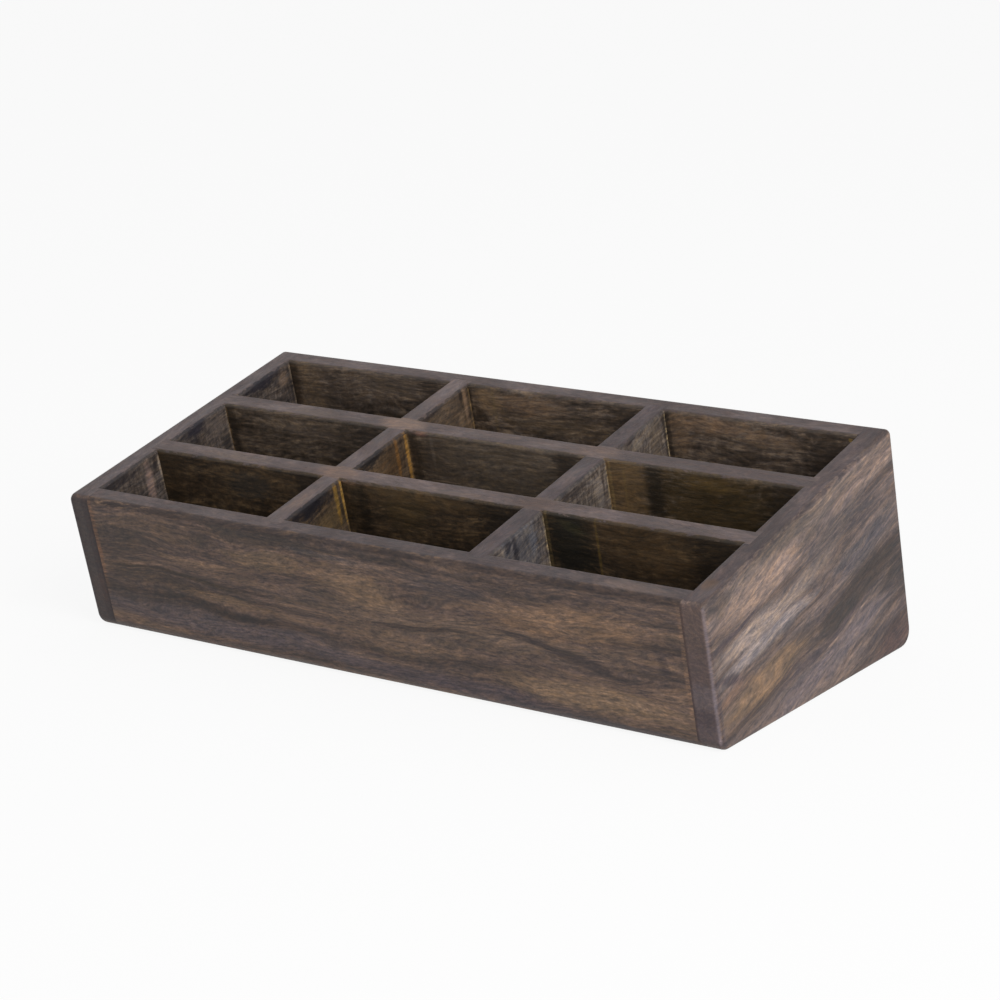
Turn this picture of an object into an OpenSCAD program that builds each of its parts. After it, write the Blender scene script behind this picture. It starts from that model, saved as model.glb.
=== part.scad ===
// Sloping nine-bin condiment caddy in dark stained wood.
// Four outer boards stand square to the rim, and their foot is cut on the slant, so the rim
// tips towards the user. Two row dividers and two cross dividers interlock inside and stand
// on a floor board that is let into the foot. +X is the user's right, -Y the user, +Z up.

/* [Body] */
// Outside width, over both end panels
body_w = 356; // [300:1:440]
// Outside depth of the rim, measured down its slope
rim_l = 175; // [150:1:230]
// Height of the front face, measured square to the rim
front_h = 72; // [56:1:100]
// Slope of the rim, in degrees
rim_slope = 13.6; // [10:0.1:20]

/* [Boards] */
// Thickness of the front, back and end panels
wall_t = 12; // [10:0.5:16]
// Thickness of the dividers
divider_t = 12; // [8:0.5:16]
// Thickness of the floor board
floor_t = 6; // [4:0.5:9]

/* [Joinery] */
// How far a divider's end goes into the board that houses it
housing_d = 4; // [2:0.5:6]
// How far the floor board is let into the foot of each end panel
end_rebate_w = 4; // [3:0.5:5]
// How far the floor board is let into the foot of the front and back panels
long_rebate_w = 3; // [2:0.5:3.5]
// Diameter of the corner dowels
dowel_d = 6; // [4:0.5:7]
// Length of the corner dowels
dowel_l = 28; // [20:1:36]
// Depth of a corner dowel in its end panel
dowel_in_end = 8; // [5:0.5:9]
// Shank diameter of the brads that hold the floor board
brad_d = 1.4; // [1:0.1:2]
// Head diameter of those brads
brad_head_d = 2.6; // [2.2:0.1:3.2]
// Length of those brads, head included
brad_l = 18; // [14:1:22]
// Gap left all round where one board slides into another
joint_gap = 0.1; // [0.05:0.05:0.3]
// Radial gap round a dowel or brad in its hole
pin_gap = 0.05; // [0.02:0.01:0.1]

/* [Edges] */
// Easing of the rim round each bin
bin_ease_r = 1.8; // [1:0.1:3]
// Easing of the rim's outer edge
rim_ease_r = 3; // [1:0.1:4]
// Easing of the four upright corners
corner_ease_r = 2; // [1:0.1:4]
// Rounding of the foot at the front and back
foot_r = 7; // [3:0.5:7.5]
// Easing of the foot at the two ends
end_foot_r = 2; // [1:0.1:3]

/* [Hidden] */
$fn = 96;

stain_face = [0.36, 0.31, 0.28];
stain_rim = [0.42, 0.38, 0.36];
stain_inside = [0.24, 0.20, 0.16];
bare_beech = [0.78, 0.64, 0.46];
bright_steel = [0.72, 0.72, 0.70];

// Bins: three across and three deep, all alike
bin_count = 3;
bin_w = (body_w - 2 * wall_t - (bin_count - 1) * divider_t) / bin_count;
bin_l = (rim_l - 2 * wall_t - (bin_count - 1) * divider_t) / bin_count;
inner_w = body_w - 2 * wall_t;

// Every eased edge is an arc that crosses both its faces at a slight angle, so its centre lies
// further in than a tangent arc's would, by this share
centre_share = 1.2;
function arc_r(half, r) = norm([centre_share * r, (centre_share - 1) * r / tan(half)]);

// The rim's frame: u to the right, v up the slope from the front edge, n square to the rim
back_h = front_h + rim_l * tan(rim_slope);
rim_front_z = front_h * cos(rim_slope);
slope_depth = rim_l * cos(rim_slope) + back_h * sin(rim_slope);
back_foot_half = (90 - rim_slope) / 2;
// How far its easing draws in the front edge of the rim, and the back edge of the foot
front_easing = centre_share * rim_ease_r * (cos(rim_slope) + sin(rim_slope))
    - arc_r(90 / 2, rim_ease_r);
back_easing = centre_share * foot_r / tan(back_foot_half) - arc_r(back_foot_half, foot_r);
rim_front_y = -(front_easing + slope_depth - back_easing) / 2;

// The foot, on the level
foot_front_y = rim_front_y + front_h * sin(rim_slope);
foot_back_y = rim_front_y + slope_depth;
wall_level_t = wall_t / cos(rim_slope);
floor_front_y = foot_front_y + wall_level_t - long_rebate_w;
floor_back_y = foot_back_y - wall_level_t + long_rebate_w;
floor_w = inner_w + 2 * end_rebate_w;

// Overrun of a cut past the face that it opens
cut = wall_t;
// Room above and below the boards that is large enough for every cut
tall = back_h + 2 * cut;

// Corner dowels: how far down the front and back panels they lie, as shares of the height
front_dowel_shares = [0.27, 0.70];
back_dowel_shares = [0.18, 0.48, 0.80];
dowel_chamfer = dowel_d / 8;

// Floor brads: where they stand along the floor board, as shares of its depth
brad_shares = [0.14, 0.5, 0.86];
brad_head_t = brad_d / 2;
brad_recess = brad_d / 4;

// Left edge of a column of bins, and front edge of a row of them
function bin_u(column) = -body_w / 2 + wall_t + column * (bin_w + divider_t);
function bin_v(row) = wall_t + row * (bin_l + divider_t);

// How far below the rim the floor board's top lies, square to the rim, at v up the slope
function floor_depth(v) = (rim_front_z - floor_t + v * sin(rim_slope)) / cos(rim_slope);

// Depth of the half lap where a cross divider meets the row divider behind that row of bins
function divider_v(row) = bin_v(row) + bin_l;
function lap_depth(row) = floor_depth(divider_v(row) + divider_t / 2) / 2;

function unit(p) = p / norm(p);
function half_corner(before, at, after) = acos(unit(before - at) * unit(after - at)) / 2;

// A convex outline with a true arc eased to its own radius at each corner
module eased_outline(corners, radii) {
    last = len(corners) - 1;
    difference() {
        polygon(corners);
        for (i = [0:last])
            corner_waste(corners[i == 0 ? last : i - 1], corners[i],
                corners[i == last ? 0 : i + 1], radii[i]);
    }
}

// What is cut away at one corner of an outline to ease it
module corner_waste(before, at, after, r) {
    half = half_corner(before, at, after);
    to_before = unit(before - at);
    to_after = unit(after - at);
    reach = centre_share * r / tan(half);
    centre = at + unit(to_before + to_after) * centre_share * r / sin(half);
    difference() {
        polygon([at + reach * to_before, at + unit(at - centre) * r, at + reach * to_after, centre]);
        translate(centre) circle(r = arc_r(half, r));
    }
}

// Carries what is drawn in the rim's frame to its place on the caddy
module on_slope() {
    translate([0, rim_front_y, rim_front_z]) rotate([rim_slope, 0, 0]) children();
}

// A block in the rim's frame, from v0 to v1 and down from n1 to n0
module slope_block(u0, u1, v0, v1, n0, n1) {
    on_slope() translate([u0, v0, n0]) cube([u1 - u0, v1 - v0, n1 - n0]);
}

// Turns an outline of v across and n up into a bar along u, between two stations
module along_u(u0, u1) {
    on_slope() translate([u0, 0, 0]) rotate([90, 0, 90]) linear_extrude(u1 - u0) children();
}

// Turns an outline of u across and n up into a bar along v, between two stations
module along_v(v0, v1) {
    on_slope() translate([0, v1, 0]) rotate([90, 0, 0]) linear_extrude(v1 - v0) children();
}

// The whole caddy's side view, as a bar between two stations
module side_form(u0, u1) {
    along_u(u0, u1)
        eased_outline([[0, 0], [rim_l, 0], [rim_l, -back_h], [0, -front_h]],
            [rim_ease_r, rim_ease_r, foot_r, foot_r]);
}

// The easing of the two long top edges at the ends of the caddy
module end_rim_form() {
    half = body_w / 2;
    along_v(-cut, rim_l + cut)
        eased_outline([[-half, 0], [half, 0], [half, -tall], [-half, -tall]],
            [rim_ease_r, rim_ease_r, rim_ease_r, rim_ease_r]);
}

// The easing of the four upright corners
module upright_form() {
    half = body_w / 2;
    on_slope() translate([0, 0, -tall]) linear_extrude(2 * tall)
        eased_outline([[-half, 0], [half, 0], [half, rim_l], [-half, rim_l]],
            [corner_ease_r, corner_ease_r, corner_ease_r, corner_ease_r]);
}

// The easing of the foot under the two end panels
module end_foot_form() {
    half = body_w / 2;
    reach = slope_depth;
    translate([0, reach, 0]) rotate([90, 0, 0]) linear_extrude(2 * reach)
        eased_outline([[-half, 0], [half, 0], [half, tall], [-half, tall]],
            [end_foot_r, end_foot_r, end_foot_r, end_foot_r]);
}

// Everything above the floor board's top
module above_floor() {
    translate([-body_w, -slope_depth, floor_t]) cube([2 * body_w, 2 * slope_depth, 2 * tall]);
}

// Section of the easing along both edges of an opening of that width
module easing_section(width) {
    centre_in = centre_share * bin_ease_r;
    difference() {
        translate([-centre_in, -centre_in]) square([width + 2 * centre_in, centre_in + cut]);
        for (x = [-centre_in, width + centre_in])
            translate([x, -centre_in]) circle(r = arc_r(90 / 2, bin_ease_r));
    }
}

// Cutter that eases the rim all round one bin, with mitred inside corners
module bin_easing(column, row) {
    u = bin_u(column);
    v = bin_v(row);
    intersection() {
        along_v(v - wall_t, v + bin_l + wall_t) translate([u, 0]) easing_section(bin_w);
        along_u(u - wall_t, u + bin_w + wall_t) translate([v, 0]) easing_section(bin_l);
    }
}

// Cutter that eases the inner edge of the front or back panel, straight past both its ends
module panel_easing(row) {
    along_u(-body_w, body_w) translate([bin_v(row), 0]) easing_section(bin_l);
}

// Recess in the foot of the outer boards that takes the floor board
module floor_rebate() {
    translate([-floor_w / 2 - joint_gap, floor_front_y - joint_gap, -cut])
        cube([floor_w + 2 * joint_gap, floor_back_y - floor_front_y + 2 * joint_gap, floor_t + cut]);
}

// Housings in the end panels, one for each row divider, up from the floor board
module row_housings(u0, u1) {
    intersection() {
        for (row = [0:bin_count - 2])
            slope_block(u0, u1, divider_v(row) - joint_gap, divider_v(row) + divider_t + joint_gap,
                -tall, cut);
        above_floor();
    }
}

// Housings in the front and back panels, one for each cross divider
module cross_housings(v0, v1) {
    intersection() {
        for (column = [0:bin_count - 2])
            slope_block(bin_u(column) + bin_w - joint_gap, bin_u(column + 1) + joint_gap,
                v0, v1, -tall, cut);
        above_floor();
    }
}

// Places its children at each corner dowel on one side of the caddy, its axis along u
module dowel_places(at_back, side) {
    shares = at_back ? back_dowel_shares : front_dowel_shares;
    board_h = at_back ? back_h : front_h;
    v = at_back ? rim_l - wall_t / 2 : wall_t / 2;
    for (share = shares)
        on_slope() translate([side * (inner_w / 2 + dowel_in_end), v, -share * board_h])
            rotate([0, -side * 90, 0]) children();
}

// One fluteless dowel with chamfered ends, standing on its end
module dowel() {
    r = dowel_d / 2;
    rotate_extrude()
        polygon([[0, 0], [r - dowel_chamfer, 0], [r, dowel_chamfer], [r, dowel_l - dowel_chamfer],
            [r - dowel_chamfer, dowel_l], [0, dowel_l]]);
}

// Bore for one dowel, which is seated on its blind end and clear at the other
module dowel_bore() {
    cylinder(r = dowel_d / 2 + pin_gap, h = dowel_l + joint_gap);
}

module dowel_bores(at_back) {
    for (side = [-1, 1]) dowel_places(at_back, side) dowel_bore();
}

// Places its children at each floor brad: under both end panels and both cross dividers
module brad_places() {
    floor_l = floor_back_y - floor_front_y;
    end_u = inner_w / 2 + end_rebate_w / 2;
    cross_u = bin_w / 2 + divider_t / 2;
    for (x = [-end_u, -cross_u, cross_u, end_u])
        for (share = brad_shares)
            translate([x, floor_front_y + share * floor_l, brad_recess]) children();
}

// One brad, head down
module brad() {
    cylinder(d = brad_head_d, h = brad_head_t);
    translate([0, 0, brad_head_t]) cylinder(d = brad_d, h = brad_l - brad_head_t);
}

// Hole for one brad, open under its head
module brad_hole() {
    translate([0, 0, -cut]) cylinder(r = brad_head_d / 2 + pin_gap, h = cut + brad_head_t);
    cylinder(r = brad_d / 2 + pin_gap, h = brad_l + joint_gap);
}

module brad_holes() {
    brad_places() brad_hole();
}

module front_panel() {
    color(stain_face) difference() {
        intersection() {
            side_form(-inner_w / 2, inner_w / 2);
            slope_block(-body_w, body_w, -cut, wall_t, -tall, cut);
        }
        floor_rebate();
        cross_housings(wall_t - housing_d - joint_gap, wall_t + cut);
        dowel_bores(false);
        panel_easing(0);
    }
}

module back_panel() {
    color(stain_inside) difference() {
        intersection() {
            side_form(-inner_w / 2, inner_w / 2);
            slope_block(-body_w, body_w, rim_l - wall_t, rim_l + cut, -tall, cut);
        }
        floor_rebate();
        cross_housings(rim_l - wall_t - cut, rim_l - wall_t + housing_d + joint_gap);
        dowel_bores(true);
        panel_easing(bin_count - 1);
    }
}

// An end panel: side is -1 for the left one and 1 for the right one
module end_panel(side) {
    outer = side * body_w / 2;
    inner = side * inner_w / 2;
    seat = inner + side * (housing_d + joint_gap);
    column = side < 0 ? 0 : bin_count - 1;
    color(stain_rim) difference() {
        intersection() {
            side_form(min(outer, inner), max(outer, inner));
            end_rim_form();
            upright_form();
            end_foot_form();
        }
        floor_rebate();
        row_housings(min(inner - side * cut, seat), max(inner - side * cut, seat));
        dowel_bores(false);
        dowel_bores(true);
        brad_holes();
        for (row = [0:bin_count - 1]) bin_easing(column, row);
    }
}

module left_end_panel() {
    end_panel(-1);
}

module right_end_panel() {
    end_panel(1);
}

module floor_board() {
    color(stain_inside) difference() {
        translate([-floor_w / 2, floor_front_y, 0])
            cube([floor_w, floor_back_y - floor_front_y, floor_t]);
        brad_holes();
    }
}

// A row divider stands behind its row of bins and is slotted from below for the cross dividers
module row_divider(row) {
    v = divider_v(row);
    half = inner_w / 2 + housing_d;
    color(stain_inside) difference() {
        intersection() {
            slope_block(-half, half, v, v + divider_t, -tall, 0);
            above_floor();
        }
        for (column = [0:bin_count - 2])
            slope_block(bin_u(column) + bin_w - joint_gap, bin_u(column + 1) + joint_gap,
                v - cut, v + divider_t + cut, -tall, -lap_depth(row));
        for (column = [0:bin_count - 1])
            for (beside = [row, row + 1]) bin_easing(column, beside);
    }
}

module front_row_divider() {
    row_divider(0);
}

module rear_row_divider() {
    row_divider(1);
}

// A cross divider stands right of its column of bins and is slotted from above for the row dividers
module cross_divider(column) {
    u = bin_u(column) + bin_w;
    color(stain_inside) difference() {
        intersection() {
            slope_block(u, u + divider_t, wall_t - housing_d, rim_l - wall_t + housing_d, -tall, 0);
            above_floor();
        }
        for (row = [0:bin_count - 2])
            slope_block(u - cut, u + divider_t + cut, divider_v(row) - joint_gap,
                divider_v(row) + divider_t + joint_gap, -lap_depth(row), cut);
        brad_holes();
        for (beside = [column, column + 1])
            for (row = [0:bin_count - 1]) bin_easing(beside, row);
    }
}

module left_cross_divider() {
    cross_divider(0);
}

module right_cross_divider() {
    cross_divider(1);
}

module front_left_dowels() {
    color(bare_beech) dowel_places(false, -1) dowel();
}

module front_right_dowels() {
    color(bare_beech) dowel_places(false, 1) dowel();
}

module back_left_dowels() {
    color(bare_beech) dowel_places(true, -1) dowel();
}

module back_right_dowels() {
    color(bare_beech) dowel_places(true, 1) dowel();
}

module floor_brads() {
    color(bright_steel) brad_places() brad();
}

front_panel();
back_panel();
left_end_panel();
right_end_panel();
floor_board();
front_row_divider();
rear_row_divider();
left_cross_divider();
right_cross_divider();
front_left_dowels();
front_right_dowels();
back_left_dowels();
back_right_dowels();
floor_brads();
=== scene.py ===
import bpy
from math import cos, radians, sin
from mathutils import Matrix, Vector


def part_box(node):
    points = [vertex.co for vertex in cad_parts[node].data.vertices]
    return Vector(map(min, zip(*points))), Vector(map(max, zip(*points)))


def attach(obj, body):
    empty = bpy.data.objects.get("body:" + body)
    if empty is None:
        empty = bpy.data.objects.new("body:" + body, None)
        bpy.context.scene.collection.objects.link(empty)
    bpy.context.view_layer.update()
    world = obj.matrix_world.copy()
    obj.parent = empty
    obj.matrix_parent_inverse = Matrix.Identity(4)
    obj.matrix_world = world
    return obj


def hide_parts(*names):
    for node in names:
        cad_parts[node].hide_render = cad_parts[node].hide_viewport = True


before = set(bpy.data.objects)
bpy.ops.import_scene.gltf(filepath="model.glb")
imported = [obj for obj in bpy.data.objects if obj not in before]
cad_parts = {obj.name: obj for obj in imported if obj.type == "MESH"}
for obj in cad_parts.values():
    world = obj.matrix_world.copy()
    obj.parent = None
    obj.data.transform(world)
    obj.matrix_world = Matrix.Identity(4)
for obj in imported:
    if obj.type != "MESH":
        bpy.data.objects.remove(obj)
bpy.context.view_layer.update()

print("packed caddy loaded")

mm = 0.001

# sizes of the caddy in mm; the rim's own frame has u to the right, v up the slope
# from the rim's front edge and n square to the rim, with the rim at n = 0
caddy = {
    "width": 356, "rimLength": 175, "slope": 13.6, "rimFrontY": -97.793, "rimFrontZ": 69.981,
    "board": 12, "floorTop": 6, "housing": 4, "deepest": -140,
    "binWidth": 102.667, "binLength": 42.333,
    "rimEase": 3.4, "binEase": 1.8, "cornerEase": 2.6, "frontFootEase": 6.0, "backFootEase": 10.1,
    "jointEase": 0.25, "easeSteps": 7, "floorGap": 0.1, "overrun": 1, "binsEachWay": 3,
    "samePlace": 0.05, "weld": 0.01, "smoothAngle": 40,
}
half = caddy["width"] / 2
inner = half - caddy["board"]
length = caddy["rimLength"]
board = caddy["board"]
deepest = caddy["deepest"]
overrun = caddy["overrun"]
tongue = caddy["housing"]
binStepU = caddy["binWidth"] + board
binStepV = caddy["binLength"] + board
rowStarts = [board + caddy["binLength"] + row * binStepV for row in (0, 1)]
crossStarts = [-inner + caddy["binWidth"] + column * binStepU for column in (0, 1)]
slope = radians(caddy["slope"])
rimOrigin = Vector((0, caddy["rimFrontY"], caddy["rimFrontZ"])) * mm
rimPlace = Matrix.Translation(rimOrigin) @ Matrix.Rotation(slope, 4, "X")
fromRim = rimPlace.inverted()


def restSelection():
    if bpy.context.object and bpy.context.object.mode != "OBJECT":
        bpy.ops.object.mode_set(mode="OBJECT")
    bpy.ops.object.select_all(action="DESELECT")


def workOn(piece):
    restSelection()
    piece.select_set(True)
    bpy.context.view_layer.objects.active = piece


def addBlock(name, low, high):
    # a cube stretched between two corners in mm, its origin left at the world's
    restSelection()
    bpy.ops.mesh.primitive_cube_add(size=1, location=[(a + b) / 2 * mm for a, b in zip(low, high)])
    block = bpy.context.object
    block.name = name
    block.data.name = name
    block.scale = [(b - a) * mm for a, b in zip(low, high)]
    bpy.ops.object.transform_apply(location=True, rotation=True, scale=True)
    return block


def addSlopeBlock(name, u, v, n):
    # a block drawn level, rim at zero, then tipped and carried to its place on the caddy
    block = addBlock(name, (u[0], v[0], n[0]), (u[1], v[1], n[1]))
    block.matrix_world = rimPlace
    bpy.ops.object.transform_apply(location=True, rotation=True, scale=True)
    return block


def sawFoot(piece, height):
    # one level saw cut, what is below it falls away
    workOn(piece)
    bpy.ops.object.mode_set(mode="EDIT")
    bpy.ops.mesh.select_all(action="SELECT")
    bpy.ops.mesh.bisect(plane_co=(0, 0, height * mm), plane_no=(0, 0, 1), use_fill=True, clear_inner=True)
    bpy.ops.object.mode_set(mode="OBJECT")


def shapeWith(piece, kind, **settings):
    workOn(piece)
    modifier = piece.modifiers.new(kind.lower(), kind)
    for field, value in settings.items():
        setattr(modifier, field, value)
    bpy.ops.object.modifier_apply(modifier=modifier.name)


def spotOf(point):
    u, v, n = (fromRim @ point) / mm
    return {"u": u, "v": v, "n": n, "z": point.z / mm}


def easeArrises(piece, easings):
    # each easing is a radius in mm and the place where both ends of its edges lie
    widest = max(radius for radius, place in easings)
    if "bevel_weight_edge" in piece.data.attributes:
        piece.data.attributes.remove(piece.data.attributes["bevel_weight_edge"])
    weights = piece.data.attributes.new("bevel_weight_edge", "FLOAT", "EDGE")
    for edge in piece.data.edges:
        ends = [spotOf(piece.data.vertices[index].co) for index in edge.vertices]
        for radius, place in easings:
            misses = [abs(end[axis] - at) for end in ends for axis, at in place.items()]
            if max(misses) < caddy["samePlace"]:
                weights.data[edge.index].value = radius / widest
    shapeWith(piece, "BEVEL", width=widest * mm, segments=caddy["easeSteps"], limit_method="WEIGHT",
        use_clamp_overlap=False)


def takeAway(piece, *cutters):
    for cutter in cutters:
        shapeWith(piece, "BOOLEAN", object=cutter, operation="DIFFERENCE", solver="EXACT")


def finishBoard(piece, node, material):
    workOn(piece)
    bpy.ops.object.mode_set(mode="EDIT")
    bpy.ops.mesh.select_all(action="SELECT")
    bpy.ops.mesh.remove_doubles(threshold=caddy["weld"] * mm)
    bpy.ops.mesh.normals_make_consistent(inside=False)
    bpy.ops.object.mode_set(mode="OBJECT")
    bpy.ops.object.shade_smooth_by_angle(angle=radians(caddy["smoothAngle"]))
    shapeWith(piece, "WEIGHTED_NORMAL", keep_sharp=True, weight=100)
    piece.data.materials.clear()
    piece.data.materials.append(material)
    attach(piece, "root")
    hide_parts(node)
    print("board done:", piece.name, len(piece.data.polygons), "faces")


# cutter for one bin's mouth: its sides flare along a quarter circle, so it eases all four edges
mouth = {"steps": 6, "firstTurn": 6, "lastTurn": 84, "startInset": 0.15, "startDrop": 0.3,
         "overrun": 0.35}


def addBinMouths():
    ease = caddy["binEase"]
    low = (-inner, board, -ease - mouth["startDrop"])
    high = (-inner + caddy["binWidth"], board + caddy["binLength"], -ease - mouth["startDrop"] / 2)
    inset = mouth["startInset"]
    cutter = addBlock("binMouths", (low[0] + inset, low[1] + inset, low[2]),
        (high[0] - inset, high[1] - inset, high[2]))
    middle = [(a + b) / 2 * mm for a, b in zip(low, high)]
    stepTurn = (mouth["lastTurn"] - mouth["firstTurn"]) / mouth["steps"]
    turns = [radians(mouth["firstTurn"] + stepTurn * step) for step in range(mouth["steps"] + 1)]
    stations = [(ease * (1 - cos(turn)), -ease + ease * sin(turn)) for turn in turns]
    stations.append((ease + mouth["overrun"], mouth["overrun"]))
    bpy.ops.object.mode_set(mode="EDIT")
    bpy.ops.mesh.select_mode(type="FACE")
    bpy.ops.mesh.select_all(action="DESELECT")
    bpy.ops.object.mode_set(mode="OBJECT")
    for face in cutter.data.polygons:
        face.select = face.normal.z > 0.9  # the top
    bpy.ops.object.mode_set(mode="EDIT")
    widthNow = caddy["binWidth"] - 2 * inset
    lengthNow = caddy["binLength"] - 2 * inset
    heightNow = high[2]
    for out, height in stations:
        width = caddy["binWidth"] + 2 * out
        deep = caddy["binLength"] + 2 * out
        rise = (0, 0, (height - heightNow) * mm)
        bpy.ops.mesh.extrude_region_move(TRANSFORM_OT_translate={"value": rise})
        bpy.ops.transform.resize(value=(width / widthNow, deep / lengthNow, 1), center_override=middle)
        widthNow, lengthNow, heightNow = width, deep, height
    bpy.ops.object.mode_set(mode="OBJECT")
    for step in ((binStepU * mm, 0, 0), (0, binStepV * mm, 0)):
        shapeWith(cutter, "ARRAY", count=caddy["binsEachWay"], use_relative_offset=False,
            use_constant_offset=True, constant_offset_displace=step)
    cutter.matrix_world = rimPlace
    bpy.ops.object.transform_apply(location=True, rotation=True, scale=True)
    return cutter


binMouths = addBinMouths()

gap = caddy["floorGap"]
floorLow, floorHigh = (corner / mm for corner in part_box("floor_board"))
floorRebate = addBlock("floorRebate", (floorLow.x - gap, floorLow.y - gap, -board),
    (floorHigh.x + gap, floorHigh.y + gap, caddy["floorTop"]))
rowBlocks = []
crossBlocks = []
rowSlots = []
crossSlots = []
for start in rowStarts:
    housing = addSlopeBlock("rowHousing", (-inner - tongue, inner + tongue), (start, start + board),
        (deepest, overrun))
    sawFoot(housing, caddy["floorTop"])
    rowBlocks.append(housing)
    depth = (caddy["rimFrontZ"] - caddy["floorTop"] + (start + board / 2) * sin(slope)) / cos(slope)
    crossSlots.append(addSlopeBlock("crossSlot", (-half, half), (start, start + board),
        (-depth / 2, overrun)))
    rowSlots.append([addSlopeBlock("rowSlot", (cross, cross + board),
        (start - overrun, start + board + overrun), (deepest, -depth / 2)) for cross in crossStarts])
for start in crossStarts:
    housing = addSlopeBlock("crossHousing", (start, start + board),
        (board - tongue, length - board + tongue), (deepest, overrun))
    sawFoot(housing, caddy["floorTop"])
    crossBlocks.append(housing)
print("cutters ready")


usualSettings = {"Mix": {"data_type": "RGBA"}, "Mapping": {"vector_type": "TEXTURE"}}


def addNode(tree, kind, inputs=None, stops=None, **settings):
    # adds a node, sets its fields, and fills or links its inputs by name or number;
    # a node given as an input is linked by its first output in use
    node = tree.nodes.new("ShaderNode" + kind)
    for field, value in {**usualSettings.get(kind, {}), **settings}.items():
        setattr(node, field, value)
    for socket, value in (inputs or {}).items():
        if isinstance(socket, str):
            entry = next(entry for entry in node.inputs if entry.enabled and entry.name == socket)
        else:
            entry = node.inputs[socket]
        if isinstance(value, bpy.types.Node):
            value = next(output for output in value.outputs if output.enabled)
        if isinstance(value, bpy.types.NodeSocket):
            tree.links.new(value, entry)
        else:
            entry.default_value = value
    if stops:
        elements = node.color_ramp.elements
        while len(elements) < len(stops):
            elements.new(0.5)
        for element, (position, colour) in zip(elements, stops):
            element.position = position
            element.color = colour
    return node


def clearedTree(owner):
    owner.use_nodes = True
    owner.node_tree.nodes.clear()
    return owner.node_tree


def hexColour(code):
    # sRGB hex to the linear colour that the shader wants
    channels = [int(code[i:i + 2], 16) / 255 for i in (1, 3, 5)]
    return [c / 12.92 if c <= 0.04045 else ((c + 0.055) / 1.055) ** 2.4 for c in channels] + [1]


def spaceTones(codes, low, high):
    # tones shared out evenly over the part of a noise that is in use
    return [(low + (high - low) * step / (len(codes) - 1), hexColour(code))
            for step, code in enumerate(codes)]


# Hardwood planed smooth, stained near black-brown with a water stain that was wiped along the
# grain, then oiled thin: open pores stay dark, soft early wood takes a tan glow, arrises are dark
# where the stain gathered. The finest fibres are drawn about twice as coarse as real ones, so
# that they show. A pattern is its size in mm along the grain, across it and through the board,
# its detail, and how far it lightens or darkens the wood
woodGrain = {
    "wanderSize": (70, 20, 20), "wanderReach": (28, 14, 14), "seedSteps": (3.1, 1.7, 5.3),
    "patterns": {
        "bands": ((120, 7, 10), 3, 0), "streaks": ((22, 2.2, 3), 3, 0.3),
        "dabs": ((5.5, 1.4, 1.8), 3, 0.38), "fibres": ((6, 0.8, 0.9), 2, 0.18),
        "pores": ((4, 0.5, 0.6), 1, 0), "blotches": ((34, 15, 15), 3, 0.16),
        "mottle": ((5, 2, 2), 4, 0), "specks": ((1.6, 0.9, 0.9), 2, 0.2),
    },
    "patternGap": 97, "dabTurn": 7, "noiseRoughness": 0.6,
    "bandTones": (0.36, 0.66), "poreTones": (0.58, 0.7), "poreShade": 0.72, "darkest": 0.3,
    "cool": (0.93, 0.99, 1.1, 1), "warm": (1.07, 1.01, 0.88, 1), "warmTones": (0.35, 0.65),
    "rubbedGrain": 0.6, "binRubbed": 0.3,  # grain left on rubbed wood, and how rubbed a bin is
    "ior": 1.5, "specular": 0.35, "roughness": (0.5, 0.7), "roughTones": (0.3, 0.7),
    "relief": 0.00022, "reliefStrength": 0.5, "fibreRelief": 0.5, "poreRelief": 2.5,
}
noiseLow, noiseHigh = 0.28, 0.72  # a noise keeps about between these
# a mark's edge is as ragged as what it lies on, and fades over this part of its reach
markEdge = {"figure": 1.1, "face": 1.2, "bin": 1.6, "rim": 0.9, "fade": (1.25, 0.4)}
farAway = 100000  # marks go right through a board
# stain inside the bins was wiped downwards near the corners
binStain = {
    "wipeSize": (1.6, 6, 1), "wipes": {"Scale": 1, "Detail": 4, "Roughness": 0.6, "Distortion": 0.4},
    "wipeTones": (0.36, 0.64), "tones": (0.4, 0.6),
    "shares": {"mottle": 0.42, "streaks": 0.22, "wipes": 0.1, "blotches": 0.26},
    "cornerFade": (1.5, 0.8), "edgeRuns": 4, "edgeFade": (-1, 0.5),
    "glueFade": 0.3, "glueTop": (-0.8, -1.5), "glueBreaks": (0.4, 0.56), "glueShares": (0.1, 1.15),
}
# the rim is rubbed grey, down to a line that wanders a little along the eased mouths
rimStain = {"tones": (0.63, 0.97), "mottle": 0.6, "wander": (0.38, 0.62), "wanderShares": (0.12, 2.0),
            "fade": (-0.05, -0.2), "easedReach": -1.9}
# outer arrises hold a line of stain, and an end strip reaches round its edge; both fade in mm
edgeStain = {"arrisFade": (0.9, -0.5), "runFade": 0.14, "runLeast": 0.15, "wornFade": (1.5, 1.7),
             "stripFade": (1.8, 0.4)}


def layMarks(tree, colour, spot, edge, ragged, marks):
    # patches of another stain, and in some bins painted shadow, their edges roughened by a noise:
    # middle and reach in mm, colour, strength, and a turn in degrees if it has one
    fadeStart, fadeEnd = markEdge["fade"]
    for middle, reach, code, strength, *turns in marks:
        turn = radians(sum(turns))
        patch = addNode(tree, "Mapping", {"Vector": spot, "Location": (*middle, 0),
            "Rotation": (0, 0, turn), "Scale": (*reach, farAway)})
        away = addNode(tree, "VectorMath", {0: patch}, operation="LENGTH")
        away = addNode(tree, "Math", {0: edge, 1: ragged, 2: away}, operation="MULTIPLY_ADD")
        share = addNode(tree, "MapRange", {"Value": away, "From Min": fadeStart + ragged / 2,
            "From Max": fadeEnd + ragged / 2, "To Max": strength}, interpolation_type="SMOOTHSTEP")
        colour = addNode(tree, "Mix", {"Factor": share, "A": colour, "B": hexColour(code)})
    return colour


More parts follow.
